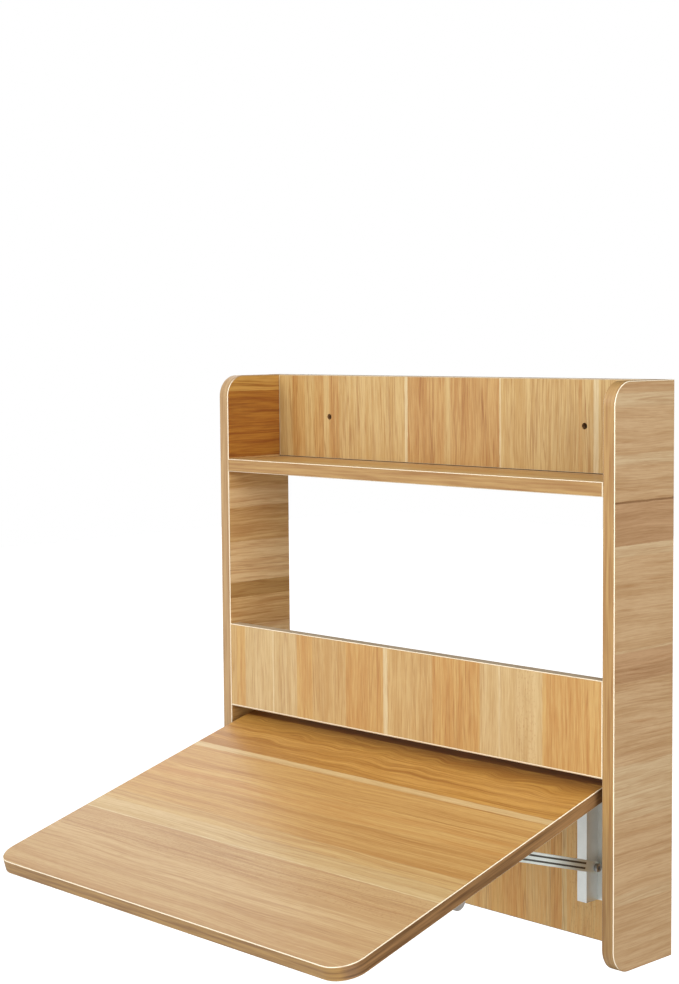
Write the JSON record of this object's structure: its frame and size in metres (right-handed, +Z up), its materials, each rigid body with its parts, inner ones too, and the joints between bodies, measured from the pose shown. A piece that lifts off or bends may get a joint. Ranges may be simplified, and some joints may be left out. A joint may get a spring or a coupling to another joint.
{
  "type": "fold down wall desk",
  "caption": "Wall-hung desk of wood-print boards with a shelf, a rail, an apron and a leaf that folds down on a pair of locking steel brackets.",
  "frame": {"origin": "on the wall plane, midway between the two wall-screw holes in the top back rail", "axes": "+X to the right of someone who sits at the desk, +Y into the wall, +Z up"},
  "size_m": [0.6, 0.4522, 0.6],
  "materials": {
    "wood_print_board": "satin melamine",
    "edge_band": "satin",
    "dowel_wood": "raw",
    "zinc": "zinc plated",
    "galvanised_steel": "galvanised"
  },
  "bodies": {
    "carcass": {"left_side_panel": "wood_print_board", "left_side_panel_edge_band": "edge_band", "right_side_panel": "wood_print_board", "right_side_panel_edge_band": "edge_band", "shelf_board": "wood_print_board", "shelf_board_edge_band": "edge_band", "top_back_rail": "wood_print_board", "top_back_rail_edge_band": "edge_band", "front_apron": "wood_print_board", "front_apron_edge_band": "edge_band", "lower_back_panel": "wood_print_board", "lower_back_panel_edge_band": "edge_band", "cam_locks": "zinc", "cam_bolts": "zinc", "wooden_dowels": "dowel_wood", "leg_screws": "galvanised_steel", "left_wall_leg": "galvanised_steel", "left_pivot_pin": "galvanised_steel", "left_strut_bolt": "galvanised_steel", "left_strut_nut": "galvanised_steel", "left_strut_spacer": "galvanised_steel", "right_wall_leg": "galvanised_steel", "right_pivot_pin": "galvanised_steel", "right_strut_bolt": "galvanised_steel", "right_strut_nut": "galvanised_steel", "right_strut_spacer": "galvanised_steel"},
    "leaf": {"leaf_board": "wood_print_board", "leaf_board_edge_band": "edge_band", "arm_screws": "galvanised_steel", "left_arm": "galvanised_steel", "left_lever_pin": "galvanised_steel", "left_lever_spring": "galvanised_steel", "right_arm": "galvanised_steel", "right_lever_pin": "galvanised_steel", "right_lever_spring": "galvanised_steel"},
    "left_strut_body": {"left_strut": "galvanised_steel", "left_slide_pin": "galvanised_steel"},
    "left_lever_body": {"left_release_lever": "galvanised_steel"},
    "right_strut_body": {"right_strut": "galvanised_steel", "right_slide_pin": "galvanised_steel"},
    "right_lever_body": {"right_release_lever": "galvanised_steel"}
  },
  "joints": [
    {"name": "leaf_fold", "type": "hinge", "parent": "carcass", "child": "leaf", "pos_m": [0, -0.039, -0.39375], "axis": [1, 0, 0], "range_deg": [-15.9, 74.1]},
    {"name": "left_strut_swing", "type": "hinge", "parent": "carcass", "child": "left_strut_body", "pos_m": [-0.2201, -0.0252, -0.4672], "axis": [1, 0, 0], "range_deg": [-21.7, 100.9]},
    {"name": "left_lever_press", "type": "hinge", "parent": "leaf", "child": "left_lever_body", "pos_m": [-0.2086, -0.23711, -0.43562], "axis": [1, 0, 0], "range_deg": [0, 14], "stiffness_Nm_per_rad": 0.05, "springref_deg": -14.32},
    {"name": "right_strut_swing", "type": "hinge", "parent": "carcass", "child": "right_strut_body", "pos_m": [0.2201, -0.0252, -0.4672], "axis": [1, 0, 0], "range_deg": [-21.7, 100.9]},
    {"name": "right_lever_press", "type": "hinge", "parent": "leaf", "child": "right_lever_body", "pos_m": [0.2086, -0.23711, -0.43562], "axis": [1, 0, 0], "range_deg": [0, 14], "stiffness_Nm_per_rad": 0.05, "springref_deg": -14.32}
  ],
  "couplings": [
    {"joint": "left_strut_swing", "follows": "leaf_fold", "ratio": 1.3603},
    {"joint": "right_strut_swing", "follows": "leaf_fold", "ratio": 1.3603}
  ]
}
